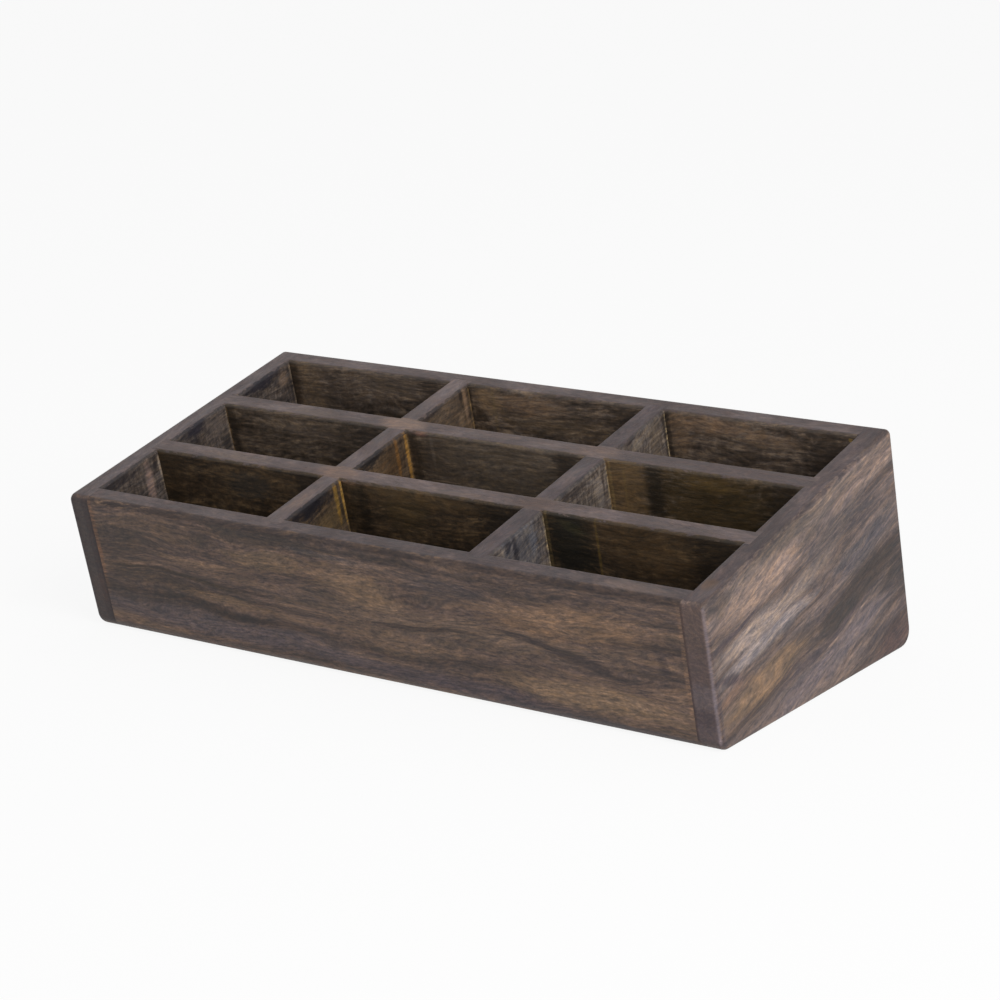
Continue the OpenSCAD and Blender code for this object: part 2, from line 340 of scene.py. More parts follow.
def findPlaces(tree, look):
    # object coordinates turned into the rim's frame, in mm, and what is measured from them
    place = {}
    thing = addNode(tree, "TexCoord")
    spot = addNode(tree, "Mapping", {"Vector": thing.outputs["Object"], "Location": rimOrigin,
        "Rotation": (slope, 0, 0), "Scale": (mm, mm, mm)})
    place["spot"] = spot
    place["u"], place["v"], place["n"] = addNode(tree, "SeparateXYZ", {"Vector": spot}).outputs
    place["along"], place["through"] = [place[axis] for axis in ("uv" if look["grain"] == "u" else "vu")]
    place["board"] = addNode(tree, "CombineXYZ", {0: place["along"], 1: place["n"], 2: place["through"]})
    sideways = addNode(tree, "Math", {0: place["u"]}, operation="ABSOLUTE")
    place["fromSide"] = addNode(tree, "Math", {0: half, 1: sideways}, operation="SUBTRACT")
    place["inFromEnds"] = addNode(tree, "Math", {0: inner, 1: sideways}, operation="SUBTRACT")
    place["inFromFront"] = addNode(tree, "Math", {0: place["v"], 1: board}, operation="SUBTRACT")
    place["inFromBack"] = addNode(tree, "Math", {0: length - board, 1: place["v"]}, operation="SUBTRACT")
    fromBack = addNode(tree, "Math", {0: length, 1: place["v"]}, operation="SUBTRACT")
    place["fromEnd"] = addNode(tree, "Math", {0: place["v"], 1: fromBack}, operation="MINIMUM")
    return place


def layGrain(tree, look, place):
    # the grain wanders, and every pattern of it follows
    drifted = addNode(tree, "Mapping", {"Vector": place["board"],
        "Rotation": (0, 0, radians(look["drift"]))}, vector_type="POINT")
    seat = [look["seed"] * step for step in woodGrain["seedSteps"]]
    scaled = addNode(tree, "Mapping", {"Vector": drifted, "Location": seat,
        "Scale": woodGrain["wanderSize"]})
    wander = addNode(tree, "TexNoise", {"Vector": scaled, "Scale": 1, "Detail": 2})
    wander = addNode(tree, "VectorMath", {0: wander.outputs["Color"], 1: (0.5, 0.5, 0.5)},
        operation="SUBTRACT")
    grainSpot = addNode(tree, "VectorMath", {0: wander, 1: woodGrain["wanderReach"], 2: drifted},
        operation="MULTIPLY_ADD")
    patterns = {}
    shade = 1
    for number, (pattern, (size, detail, contrast)) in enumerate(woodGrain["patterns"].items()):
        size = look.get("sizes", {}).get(pattern, size)
        shift = [(number + 1) * woodGrain["patternGap"] * side for side in size]
        turn = radians(woodGrain["dabTurn"]) if pattern == "dabs" else 0
        scaled = addNode(tree, "Mapping", {"Vector": grainSpot, "Location": shift, "Scale": size,
            "Rotation": (0, 0, turn)})
        patterns[pattern] = addNode(tree, "TexNoise", {"Vector": scaled, "Scale": 1, "Detail": detail,
            "Roughness": woodGrain["noiseRoughness"]})
        if contrast:
            reach = contrast * look["contrast"]
            part = addNode(tree, "MapRange", {"Value": patterns[pattern], "From Min": noiseLow,
                "From Max": noiseHigh, "To Min": 1 - reach, "To Max": 1 + reach}, clamp=False)
            shade = addNode(tree, "Math", {0: shade, 1: part}, operation="MULTIPLY")
    return grainSpot, patterns, shade


def stainBins(tree, look, place, patterns):
    # darker blotched stain, wiped downwards near the far left corner of each bin,
    # where glue in the corner kept the stain out; its marks include painted shadow on the far walls
    walls = look["inside"]
    level = addNode(tree, "CombineXYZ", {0: place["along"], 1: place["n"]})
    wiped = addNode(tree, "Mapping", {"Vector": level, "Scale": binStain["wipeSize"],
        "Location": (look["seed"], 0, 0)})
    wipes = addNode(tree, "TexNoise", {"Vector": wiped, **binStain["wipes"]})
    tone = 0
    for pattern, share in binStain["shares"].items():
        tone = addNode(tree, "Math", {0: patterns.get(pattern, wipes), 1: share, 2: tone},
            operation="MULTIPLY_ADD")
    colour = addNode(tree, "ValToRGB", {"Fac": tone}, spaceTones(walls["tones"], *binStain["tones"]))
    # how far right of a bin's left wall, or how far in front of its far wall
    if look["grain"] == "u":
        past = addNode(tree, "Math", {0: place["u"], 1: inner}, operation="ADD")
        gapTo = addNode(tree, "Math", {0: past, 1: binStepU}, operation="FLOORED_MODULO")
    else:
        gapTo = addNode(tree, "Math", {0: place["inFromBack"], 1: binStepV}, operation="FLOORED_MODULO")
    wipeColour = addNode(tree, "ValToRGB", {"Fac": wipes},
        spaceTones(walls["wipes"], *binStain["wipeTones"]))
    wobbled = addNode(tree, "Math", {0: patterns["blotches"], 1: walls["reach"], 2: gapTo},
        operation="MULTIPLY_ADD")
    fadeStart, fadeEnd = [walls["reach"] * share for share in binStain["cornerFade"]]
    nearCorner = addNode(tree, "MapRange", {"Value": wobbled, "From Min": fadeStart, "From Max": fadeEnd,
        "To Max": walls["amount"]}, interpolation_type="SMOOTHSTEP")
    colour = addNode(tree, "Mix", {"Factor": nearCorner, "A": colour, "B": wipeColour})
    colour = layMarks(tree, colour, place["board"], patterns["mottle"], markEdge["bin"],
        walls.get("marks", []))
    # the eased edge at each bin's mouth is darkened towards the shade colour, in runs
    edge = addNode(tree, "Math", {0: patterns["mottle"], 1: binStain["edgeRuns"], 2: place["n"]},
        operation="MULTIPLY_ADD")
    lowest = binStain["edgeRuns"] / 2 - walls["rimShade"]
    fadeStart, fadeEnd = [lowest + step for step in binStain["edgeFade"]]
    underRim = addNode(tree, "MapRange", {"Value": edge, "From Min": fadeStart, "From Max": fadeEnd,
        "To Max": walls["shadeAmount"]}, interpolation_type="SMOOTHSTEP")
    colour = addNode(tree, "Mix", {"Factor": underRim, "A": colour, "B": hexColour(walls["shade"])})
    if "glue" not in walls:
        return colour
    # the glue line, in broken runs below the eased edge
    glued = addNode(tree, "MapRange", {"Value": gapTo, "From Min": walls["glueWidth"],
        "From Max": walls["glueWidth"] * binStain["glueFade"], "To Max": walls["glueAmount"]})
    breakStart, breakEnd = binStain["glueBreaks"]
    least, most = binStain["glueShares"]
    broken = addNode(tree, "MapRange", {"Value": patterns["mottle"], "From Min": breakStart,
        "From Max": breakEnd, "To Min": least, "To Max": most})
    glued = addNode(tree, "Math", {0: glued, 1: broken}, operation="MULTIPLY")
    topStart, topEnd = [caddy["binEase"] * share for share in binStain["glueTop"]]
    below = addNode(tree, "MapRange", {"Value": place["n"], "From Min": topStart, "From Max": topEnd})
    glued = addNode(tree, "Math", {0: glued, 1: below}, operation="MULTIPLY")
    return addNode(tree, "Mix", {"Factor": glued, "A": colour, "B": hexColour(walls["glue"])})


def stainStrip(tree, look, place, patterns, onStrip, colour):
    # an end panel's edge beside the front or back panel: rubbed smooth, with a dark line at
    # the joint, other lines along it, and on the right end a pale line along the eased corner that is a
    # painted highlight
    stripColour = layMarks(tree, hexColour(look["strip"]), place["board"], patterns["mottle"],
        markEdge["face"], look["stripMarks"])
    for start, end, code, strength in look["stripLines"]:
        line = addNode(tree, "MapRange", {"Value": place["inFromEnds"], "From Min": start,
            "From Max": end, "To Max": strength}, interpolation_type="SMOOTHSTEP")
        stripColour = addNode(tree, "Mix", {"Factor": line, "A": stripColour, "B": hexColour(code)})
    return addNode(tree, "Mix", {"Factor": onStrip, "A": colour, "B": stripColour})


def stainArrises(tree, look, place, patterns, colour):
    # outer arrises hold a dark line of stain, broken in runs
    arris = look["arris"]
    outwards = place["fromSide"] if look["grain"] == "v" else place["fromEnd"]
    down = addNode(tree, "Math", {0: 0.0, 1: place["n"]}, operation="SUBTRACT")
    farther = addNode(tree, "Math", {0: outwards, 1: down}, operation="MAXIMUM")
    fadeStart, fadeEnd = [arris["width"] + step for step in edgeStain["arrisFade"]]
    onArris = addNode(tree, "MapRange", {"Value": farther, "From Min": fadeStart, "From Max": fadeEnd,
        "To Max": arris["amount"]}, interpolation_type="SMOOTHSTEP")
    inRuns = addNode(tree, "MapRange", {"Value": patterns["streaks"], "From Min": arris["runs"],
        "From Max": arris["runs"] + edgeStain["runFade"], "To Min": edgeStain["runLeast"]})
    onArris = addNode(tree, "Math", {0: onArris, 1: inRuns}, operation="MULTIPLY")
    lineColour = hexColour(arris["dark"])
    if "worn" in arris:
        # worn pale where hands hold it
        held = addNode(tree, "MapRange", {"Value": place["along"], "From Min": arris["wornFrom"],
            "From Max": arris["wornTo"]}, interpolation_type="SMOOTHSTEP")
        held = addNode(tree, "Math", {0: held, 1: patterns["dabs"]}, operation="ADD")
        fadeStart, fadeEnd = edgeStain["wornFade"]
        worn = addNode(tree, "MapRange", {"Value": held, "From Min": fadeStart, "From Max": fadeEnd})
        lineColour = addNode(tree, "Mix", {"Factor": worn, "A": lineColour, "B": hexColour(arris["worn"])})
    return addNode(tree, "Mix", {"Factor": onArris, "A": colour, "B": lineColour})


def makeStainedWood(name, look):
    material = bpy.data.materials.new(name)
    tree = clearedTree(material)
    place = findPlaces(tree, look)
    grainSpot, patterns, shade = layGrain(tree, look, place)

    # stain tone from the growth bands, then the board's own figure laid over it
    colour = addNode(tree, "ValToRGB", {"Fac": patterns["bands"]},
        spaceTones(look["tones"], *woodGrain["bandTones"]))
    colour = layMarks(tree, colour, grainSpot, patterns["streaks"], markEdge["figure"],
        look.get("figure", []))
    colour = layMarks(tree, colour, place["board"], patterns["mottle"], markEdge["face"],
        look.get("marks", []))
    onStrip = 0
    if "strip" in look:
        fadeStart, fadeEnd = edgeStain["stripFade"]
        onStrip = addNode(tree, "MapRange", {"Value": place["fromEnd"], "From Min": fadeStart,
            "From Max": fadeEnd}, interpolation_type="SMOOTHSTEP")
        colour = stainStrip(tree, look, place, patterns, onStrip, colour)

    # the rim above a wandering line, and faces inside the bins below it
    wanderStart, wanderEnd = rimStain["wander"]
    least, most = rimStain["wanderShares"]
    ragged = addNode(tree, "MapRange", {"Value": patterns["mottle"], "From Min": wanderStart,
        "From Max": wanderEnd, "To Min": least, "To Max": most})
    drop = addNode(tree, "Math", {0: place["n"], 1: ragged}, operation="MULTIPLY")
    within = addNode(tree, "Math", {0: place["inFromEnds"], 1: place["inFromFront"]}, operation="MINIMUM")
    within = addNode(tree, "Math", {0: within, 1: place["inFromBack"]}, operation="MINIMUM")
    within = addNode(tree, "Math", {0: within, 1: rimStain["easedReach"]}, operation="GREATER_THAN")
    fadeStart, fadeEnd = rimStain["fade"]
    inBin = addNode(tree, "MapRange", {"Value": drop, "From Min": fadeStart, "From Max": fadeEnd},
        interpolation_type="SMOOTHSTEP")
    inBin = addNode(tree, "Math", {0: within, 1: inBin}, operation="MULTIPLY")
    binColour = stainBins(tree, look, place, patterns)
    colour = addNode(tree, "Mix", {"Factor": inBin, "A": colour, "B": binColour})

    # the rim is rubbed to an even grey, patched where boards cross
    onRim = addNode(tree, "MapRange", {"Value": drop, "From Min": fadeEnd, "From Max": fadeStart},
        interpolation_type="SMOOTHSTEP")
    rimTone = addNode(tree, "Math", {0: patterns["mottle"], 1: rimStain["mottle"],
        2: patterns["blotches"]}, operation="MULTIPLY_ADD")
    rimColour = addNode(tree, "ValToRGB", {"Fac": rimTone}, spaceTones(look["rim"], *rimStain["tones"]))
    rimColour = layMarks(tree, rimColour, place["spot"], patterns["streaks"], markEdge["rim"],
        look.get("rimMarks", []))
    colour = addNode(tree, "Mix", {"Factor": onRim, "A": colour, "B": rimColour})
    if "arris" in look:
        colour = stainArrises(tree, look, place, patterns, colour)

    # light and dark grain, warmer where it is light, and dark open pores
    rubbed = addNode(tree, "Math", {0: onRim, 1: onStrip}, operation="MAXIMUM")
    rubbed = addNode(tree, "Math", {0: inBin, 1: woodGrain["binRubbed"], 2: rubbed},
        operation="MULTIPLY_ADD")
    calm = addNode(tree, "MapRange", {"Value": rubbed, "To Min": 1.0, "To Max": woodGrain["rubbedGrain"]})
    poreStart, poreEnd = woodGrain["poreTones"]
    pores = addNode(tree, "MapRange", {"Value": patterns["pores"], "From Min": poreStart,
        "From Max": poreEnd, "To Min": 1.0, "To Max": woodGrain["poreShade"]})
    shade = addNode(tree, "Math", {0: shade, 1: pores}, operation="MULTIPLY")
    shade = addNode(tree, "Mix", {"Factor": calm, "A": 1.0, "B": shade}, data_type="FLOAT")
    shade = addNode(tree, "Math", {0: shade, 1: woodGrain["darkest"]}, operation="MAXIMUM")
    warmStart, warmEnd = woodGrain["warmTones"]
    cast = addNode(tree, "MapRange", {"Value": patterns["dabs"], "From Min": warmStart,
        "From Max": warmEnd})
    cast = addNode(tree, "Mix", {"Factor": cast, "A": woodGrain["cool"], "B": woodGrain["warm"]})
    cast = addNode(tree, "Mix", {"Factor": calm, "A": (1, 1, 1, 1), "B": cast})
    colour = addNode(tree, "VectorMath", {0: colour, 1: cast}, operation="MULTIPLY")
    colour = addNode(tree, "VectorMath", {"Vector": colour, "Scale": shade}, operation="SCALE")

    roughStart, roughEnd = woodGrain["roughTones"]
    smoothest, roughest = woodGrain["roughness"]
    rough = addNode(tree, "MapRange", {"Value": patterns["streaks"], "From Min": roughStart,
        "From Max": roughEnd, "To Min": smoothest, "To Max": roughest})
    height = addNode(tree, "Math", {0: patterns["fibres"], 1: woodGrain["fibreRelief"],
        2: patterns["streaks"]}, operation="MULTIPLY_ADD")
    height = addNode(tree, "Math", {0: pores, 1: woodGrain["poreRelief"], 2: height},
        operation="MULTIPLY_ADD")
    bump = addNode(tree, "Bump", {"Height": height, "Strength": woodGrain["reliefStrength"],
        "Distance": woodGrain["relief"]})
    shader = addNode(tree, "BsdfPrincipled", {"Base Color": colour, "Roughness": rough,
        "IOR": woodGrain["ior"], "Specular IOR Level": woodGrain["specular"], "Normal": bump})
    addNode(tree, "OutputMaterial", {"Surface": shader})
    return material


# front panel, between the end panels; its figure is tan lenses with dark bands running round them
frontPanelLook = {
    "grain": "u", "seed": 1.3, "drift": 0.6, "contrast": 1.25,
    "tones": ("#3f3430", "#594943", "#6f5a4c"), "rim": ("#413636", "#4a3f3f", "#574b4a"),
    "arris": {"dark": "#2f2624", "amount": 0.8, "width": 2.3, "runs": 0.36, "worn": "#6e5b4e",
              "wornFrom": 0, "wornTo": -150},
    "rimMarks": [
        ((140, 4), (18, 6), "#6a5952", 0.6), ((-130, 0), (16, 1.6), "#84705c", 0.7),
        ((22, 0), (7, 1.6), "#8c6a44", 0.8), ((-80, 0), (30, 2), "#6b5a52", 0.5),
        ((162, 3), (8, 5), "#4a3f3d", 0.5),
    ],
    "marks": [
        ((165, -36), (1.4, 34), "#7c6150", 0.6), ((154, -32), (3, 8), "#3d3335", 0.5),
        ((-165, -22), (1.8, 30), "#75543f", 0.55), ((-156, -20), (3, 16), "#3f3534", 0.4),
        ((-20, -9), (30, 2), "#5d5250", 0.5, -3),
    ],
    "figure": [
        ((34, -35), (104, 9), "#705d4f", 0.5), ((-156, -26), (26, 16), "#40352f", 0.5),
        ((-60, -7), (54, 5), "#3b312d", 0.85), ((-130, -14), (36, 4), "#5d4c41", 0.6),
        ((40, -14), (28, 7), "#4a4040", 0.8, -3), ((-58, -17), (26, 6), "#745f4e", 0.9),
        ((-8, -23), (27, 10), "#7b6452", 0.95, -10), ((108, -19), (46, 9), "#7c6351", 0.95),
        ((84, -26), (26, 5), "#775e4c", 0.85, -3), ((118, -56), (54, 9), "#806956", 0.95),
        ((-92, -46), (40, 3.4), "#725c4a", 0.8, -2), ((10, -47), (44, 6), "#6d594b", 0.7),
        ((-115, -37), (50, 1.6), "#33291f", 0.7, -3), ((-98, -51), (66, 2), "#2f2522", 0.85, -3),
        ((22, -38), (36, 2.4), "#372c29", 0.8, 3), ((100, -36), (46, 3), "#382e2d", 0.85, -9),
        ((-70, -60), (115, 6), "#5a4e4f", 0.95, -1.5), ((50, -64), (70, 5), "#4f4447", 0.9),
        ((130, -68), (50, 2.5), "#4b4143", 0.8), ((-20, -33), (60, 2), "#4a3f3c", 0.4, 2),
        ((-150, -18), (24, 5), "#3c332f", 0.55), ((-134, -42), (46, 6), "#372d28", 0.65, -3),
    ],
    "inside": {
        "tones": ("#221b16", "#33291f", "#4b3c2a"), "wipes": ("#2a2320", "#5a4b3c"), "reach": 12,
        "amount": 0.5, "rimShade": 2, "shade": "#1e1814", "shadeAmount": 0.6,
    },
}
frontWood = makeStainedWood("stainedHardwoodFront", frontPanelLook)
frontPanel = addSlopeBlock("frontPanel", (-inner, inner), (0, board), (deepest, 0))
sawFoot(frontPanel, 0)
easeArrises(frontPanel, [(caddy["rimEase"], {"v": 0, "n": 0}),
    (caddy["frontFootEase"], {"v": 0, "z": 0})])
easeArrises(frontPanel, [(caddy["jointEase"], {"u": end, "v": 0}) for end in (-inner, inner)])
takeAway(frontPanel, floorRebate, *crossBlocks, binMouths)
finishBoard(frontPanel, "front_panel", frontWood)

# back panel, the same board taller
backPanelLook = {
    "grain": "u", "seed": 4.7, "drift": -0.8, "contrast": 1.0,
    "tones": ("#413531", "#564640", "#665249"), "rim": ("#4a3e3d", "#544847", "#625655"),
    "arris": {"dark": "#2c2524", "amount": 0.6, "width": 1.9, "runs": 0.4},
    "figure": [
        ((-60, -40), (70, 12), "#6c5749", 0.7, 2), ((80, -75), (60, 14), "#6c5749", 0.7, -2),
        ((20, -58), (90, 4), "#362a26", 0.7, 1),
    ],
    "inside": {
        "tones": ("#40362f", "#625449", "#857466"), "wipes": ("#3e342a", "#7a654c"), "reach": 14,
        "amount": 0.35, "rimShade": 1.2, "shade": "#2e2621", "shadeAmount": 0.5, "glue": "#1e1815",
        "glueWidth": 1.6, "glueAmount": 0.7,
        # the dark bands down the right part of each bin, near u -76, 40 and 150, are painted shadow cast
        # by the bin's right wall; the other marks are patches of the stain
        "marks": [
            ((-154, -12), (9, 40), "#7c6853", 0.5), ((-164, -12), (3.4, 40), "#3a2e24", 0.8),
            ((-100, -6), (20, 7), "#76675a", 0.4), ((-76, -12), (8, 30), "#3a302a", 0.6),
            ((-39, -8), (9, 9), "#8c745b", 0.75), ((-37, -10), (1.2, 20), "#8a7454", 0.4),
            ((0, -17), (44, 6), "#75634f", 0.4), ((-46, -17), (5, 5), "#2a211b", 0.7),
            ((-14, -8), (20, 6), "#8a715c", 0.65), ((40, -12), (9, 40), "#3a3029", 0.6),
            ((65, -12), (1.1, 40), "#2b241f", 0.6), ((71, -10), (6, 12), "#8f7660", 0.6),
            ((90, -5), (24, 5), "#947861", 0.55), ((120, -9), (18, 4), "#8c7460", 0.5),
            ((150, -14), (14, 40), "#3a3029", 0.7), ((163, -3), (1.3, 1), "#b08d50", 0.8),
        ],
    },
}
backWood = makeStainedWood("stainedHardwoodBack", backPanelLook)
backPanel = addSlopeBlock("backPanel", (-inner, inner), (length - board, length), (deepest, 0))
sawFoot(backPanel, 0)
easeArrises(backPanel, [(caddy["rimEase"], {"v": length, "n": 0}),
    (caddy["backFootEase"], {"v": length, "z": 0})])
easeArrises(backPanel, [(caddy["jointEase"], {"u": end, "v": length}) for end in (-inner, inner)])
takeAway(backPanel, floorRebate, *crossBlocks, binMouths)
finishBoard(backPanel, "back_panel", backWood)

# end panels, quarter sawn, so their figure is long bands that run down the slope
leftEndLook = {
    "grain": "v", "seed": 8.2, "drift": -2.5, "contrast": 1.0,
    "tones": ("#413531", "#564640", "#665249"), "rim": ("#4a3f3f", "#544949", "#625757"),
    "strip": "#3a3030", "stripMarks": [((0, -50), (400, 9), "#453430", 0.7)],
    "stripLines": [(-3, -5, "#4a4240", 0.45), (-7, -10, "#332a2b", 0.6), (-1.8, -0.6, "#2b2120", 0.5)],
    "arris": {"dark": "#2c2524", "amount": 0.6, "width": 1.7, "runs": 0.4},
    "figure": [((90, -30), (90, 9), "#6c5749", 0.7), ((60, -60), (70, 6), "#362a26", 0.7)],
    "inside": {
        "tones": ("#2c2524", "#473e3a", "#655a53"), "wipes": ("#332b29", "#6e625a"), "reach": 60,
        "amount": 0.4, "rimShade": 1, "shade": "#231e22", "shadeAmount": 0.6, "glue": "#8f7c66",
        "glueWidth": 1.5, "glueAmount": 0.45,
        "marks": [
            ((140, -1.5), (15, 5), "#201d26", 0.9), ((156, -7), (4, 5), "#7d695a", 0.6),
            ((162, -16), (2, 9), "#272123", 0.7), ((83, -1), (12, 6), "#211e27", 0.9),
            ((99, -7), (8, 7), "#70635c", 0.4), ((105, -19), (5, 6), "#272322", 0.7),
            ((22, -3), (14, 4), "#252126", 0.65), ((45, -15), (3, 14), "#8a746c", 0.7),
            ((50.5, -6), (1.6, 5), "#2a2424", 0.7), ((53.6, -9), (1, 6), "#a8998c", 0.6),
        ],
    },
}
rightEndLook = {
    "grain": "v", "seed": 2.6, "drift": -1.5, "contrast": 1.12,
    "sizes": {"streaks": (30, 2.6, 4), "dabs": (9, 1.7, 2.2), "fibres": (8, 1.1, 1.4)},
    "tones": ("#483b38", "#63544f", "#7c6a63"), "rim": ("#423737", "#4b3f3f", "#584b4a"),
    # the pale lavender line on the eased outer corner is a painted highlight; the dark line is the joint
    "strip": "#564745", "stripLines": [(-1.6, -0.5, "#36241f", 0.6), (-9.9, -11.1, "#8a7f86", 0.42)],
    "stripMarks": [
        ((0, -12), (400, 14), "#5d4c45", 0.5), ((0, -46), (400, 7), "#675c60", 0.55),
        ((0, -57), (400, 6), "#443a40", 0.6), ((0, -64), (400, 5), "#5f5356", 0.45),
        ((0, -73), (400, 6), "#3f3434", 0.6),
    ],
    "arris": {"dark": "#2f272b", "amount": 0.6, "width": 1.5, "runs": 0.42},
    "rimMarks": [((172, 12), (5, 9), "#5f5252", 0.5), ((171, 18), (4, 6), "#5f4630", 0.5)],
    "marks": [((2.6, -52), (1.4, 24), "#443b41", 0.5), ((11, -5), (12, 5), "#4e423e", 0.7)],
    "figure": [
        ((76, -8), (78, 8), "#76665e", 0.85), ((44, -16), (48, 7), "#8c766b", 0.95),
        ((22, -25), (26, 2), "#483c40", 0.85, 2), ((60, -24), (30, 1.8), "#5b4a42", 0.7, 7),
        ((42, -34), (44, 7), "#95847c", 0.9), ((84, -33), (36, 5), "#83736b", 0.6),
        ((44, -43), (44, 5), "#8e8281", 0.85), ((142, -47), (42, 7), "#544c4f", 0.9, 1),
        ((12, -46), (16, 2.4), "#3f3439", 0.8, -25), ((14, -53.5), (14, 4), "#7a6052", 0.7),
        ((44, -61), (44, 7), "#7c634d", 0.85), ((128, -63), (60, 10), "#352b28", 0.95),
        ((110, -82), (76, 7), "#6a5e60", 0.9), ((158, -108), (28, 9), "#4b3836", 0.85),
        ((148, -11), (32, 5), "#78655d", 0.75, -2), ((114, -24), (42, 10), "#574d4c", 0.65, -2),
        ((92, -72.5), (60, 2.4), "#4a3f42", 0.8, 2), ((150, -96), (40, 3), "#463c3f", 0.6),
        ((74, -6), (40, 6), "#4a403b", 0.6), ((166, -76), (18, 16), "#312928", 0.8),
        ((92, -56), (26, 4), "#40383b", 0.5), ((130, -69), (20, 3.5), "#302826", 0.5),
        ((144, -31), (24, 7), "#433b3d", 0.8), ((92, -18), (20, 6), "#4b4140", 0.5, -3),
    ],
    "inside": {
        "tones": ("#292224", "#423836", "#6b5e59"), "wipes": ("#3a312d", "#6b5d52"), "reach": 12,
        "amount": 0.5, "rimShade": 1, "shade": "#231d22", "shadeAmount": 0.6, "glue": "#a08a68",
        "glueWidth": 1.0, "glueAmount": 0.3,
    },
}
leftEndWood = makeStainedWood("stainedHardwoodLeftEnd", leftEndLook)
rightEndWood = makeStainedWood("stainedHardwoodRightEnd", rightEndLook)
for side, name, node, wood in ((-1, "leftEndPanel", "left_end_panel", leftEndWood),
                               (1, "rightEndPanel", "right_end_panel", rightEndWood)):
    outer = side * half
    inside = side * inner
    endPanel = addSlopeBlock(name, (min(outer, inside), max(outer, inside)), (0, length), (deepest, 0))
    sawFoot(endPanel, 0)
    easeArrises(endPanel, [(caddy["rimEase"], {"v": 0, "n": 0}), (caddy["rimEase"], {"v": length, "n": 0}),
        (caddy["frontFootEase"], {"v": 0, "z": 0}), (caddy["backFootEase"], {"v": length, "z": 0})])
    easeArrises(endPanel, [(caddy["cornerEase"], {"u": outer}),
        (caddy["jointEase"], {"u": inside, "v": 0}), (caddy["jointEase"], {"u": inside, "v": length})])
    takeAway(endPanel, floorRebate, *rowBlocks, binMouths)
    finishBoard(endPanel, node, wood)

# row dividers, slotted from below, of the same darker stock as the cross dividers
dividerTones = ("#33291f", "#4a3c2c", "#5f4d38")
frontRowLook = {
    "grain": "u", "seed": 5.9, "drift": 0.5, "contrast": 0.9,
    "tones": dividerTones, "rim": ("#4c403f", "#574a48", "#665856"),
    "rimMarks": [
        ((-57.3, 60), (14, 8), "#6f594e", 0.75), ((57.3, 60), (13, 7), "#54423b", 0.6),
        ((-120, 60), (22, 4), "#68584e", 0.5), ((20, 57), (26, 3), "#66564f", 0.4),
    ],
    "inside": {
        "tones": ("#2b2219", "#443628", "#63503a"), "wipes": ("#241d18", "#54442e"), "reach": 12,
        "amount": 0.35, "rimShade": 1.2, "shade": "#2c2318", "shadeAmount": 0.4, "glue": "#2a2118",
        "glueWidth": 1.4, "glueAmount": 0.5,
        # the dark bands down the right part of each bin, near u -72, 38 and 154, are painted shadow cast
        # by the bin's right wall; the other marks are patches of the stain
        "marks": [
            ((-158, -12), (7, 40), "#392c1d", 0.6), ((-110, -12), (16, 8), "#46403a", 0.5),
            ((-72, -10), (8, 40), "#241c15", 0.7), ((-42, -1), (9, 1.6), "#8a6d58", 0.6),
            ((-40, -12), (4, 40), "#211a13", 0.7), ((-15, -9), (14, 14), "#4f4029", 0.6),
            ((38, -12), (12, 40), "#1e1813", 0.7), ((64.4, -12), (1.1, 30), "#8f7a52", 0.55),
            ((-6, -4), (36, 5), "#66523a", 0.6), ((76, -12), (14, 70), "#1c1b16", 0.85),
            ((78, -6), (8, 3), "#3b3725", 0.6, -20), ((91, -18), (0.8, 30), "#7a6233", 0.5),
            ((118, -10), (30, 16), "#5c472f", 0.5, -14), ((154, -12), (14, 60), "#241c15", 0.7),
        ],
    },
}
rearRowLook = {
    "grain": "u", "seed": 6.4, "drift": -0.7, "contrast": 0.9,
    "tones": dividerTones, "rim": ("#4e4241", "#5a4d4b", "#695c5a"),
    "rimMarks": [
        ((-57.3, 115), (14, 8), "#806a5e", 0.8), ((57.3, 115), (13, 7), "#6b5850", 0.6),
        ((120, 115), (56, 9), "#473b3a", 0.8), ((-110, 113), (18, 4), "#6b5b52", 0.5),
    ],
    "inside": {
        "tones": ("#3a3129", "#5a4d42", "#786859"), "wipes": ("#2f271f", "#6b5840"), "reach": 12,
        "amount": 0.3, "rimShade": 1.2, "shade": "#332a22", "shadeAmount": 0.4, "glue": "#b08a4e",
        "glueWidth": 0.9, "glueAmount": 0.3,
        # the dark bands down the right part of each bin, near u -74, 42 and 156, are painted shadow cast
        # by the bin's right wall; the other marks are patches of the stain
        "marks": [
            ((122, -30), (50, 60), "#46371f", 0.85), ((73, -14), (12, 60), "#7d6548", 0.8),
            ((65, -16), (0.9, 30), "#9c8357", 0.45), ((72.6, -14), (0.9, 22), "#8a7046", 0.35),
            ((89, -28), (5.5, 70), "#261f17", 0.8), ((4, -12), (44, 40), "#6f6255", 0.5),
            ((120, -6), (14, 4), "#6a5430", 0.5), ((156, -12), (13, 60), "#2a2117", 0.7),
            ((-163, -12), (3, 60), "#2c241d", 0.7), ((-112, -9), (22, 3), "#6f6157", 0.4),
            ((-74, -10), (9, 60), "#332b26", 0.6), ((-44, -1), (6, 1.6), "#8a6458", 0.6),
            ((-48, -12), (3, 60), "#2c251f", 0.6), ((-37, -9), (1.2, 12), "#75675a", 0.5),
            ((42, -12), (9, 60), "#2e2621", 0.7),
        ],
    },
}
frontRowWood = makeStainedWood("stainedHardwoodFrontRow", frontRowLook)
rearRowWood = makeStainedWood("stainedHardwoodRearRow", rearRowLook)
for row, name, node, wood in ((0, "frontRowDivider", "front_row_divider", frontRowWood),
                              (1, "rearRowDivider", "rear_row_divider", rearRowWood)):
    start = rowStarts[row]
    rowDivider = addSlopeBlock(name, (-inner - tongue, inner + tongue), (start, start + board),
        (deepest, 0))
    sawFoot(rowDivider, caddy["floorTop"])
    takeAway(rowDivider, *rowSlots[row], binMouths)
    finishBoard(rowDivider, node, wood)

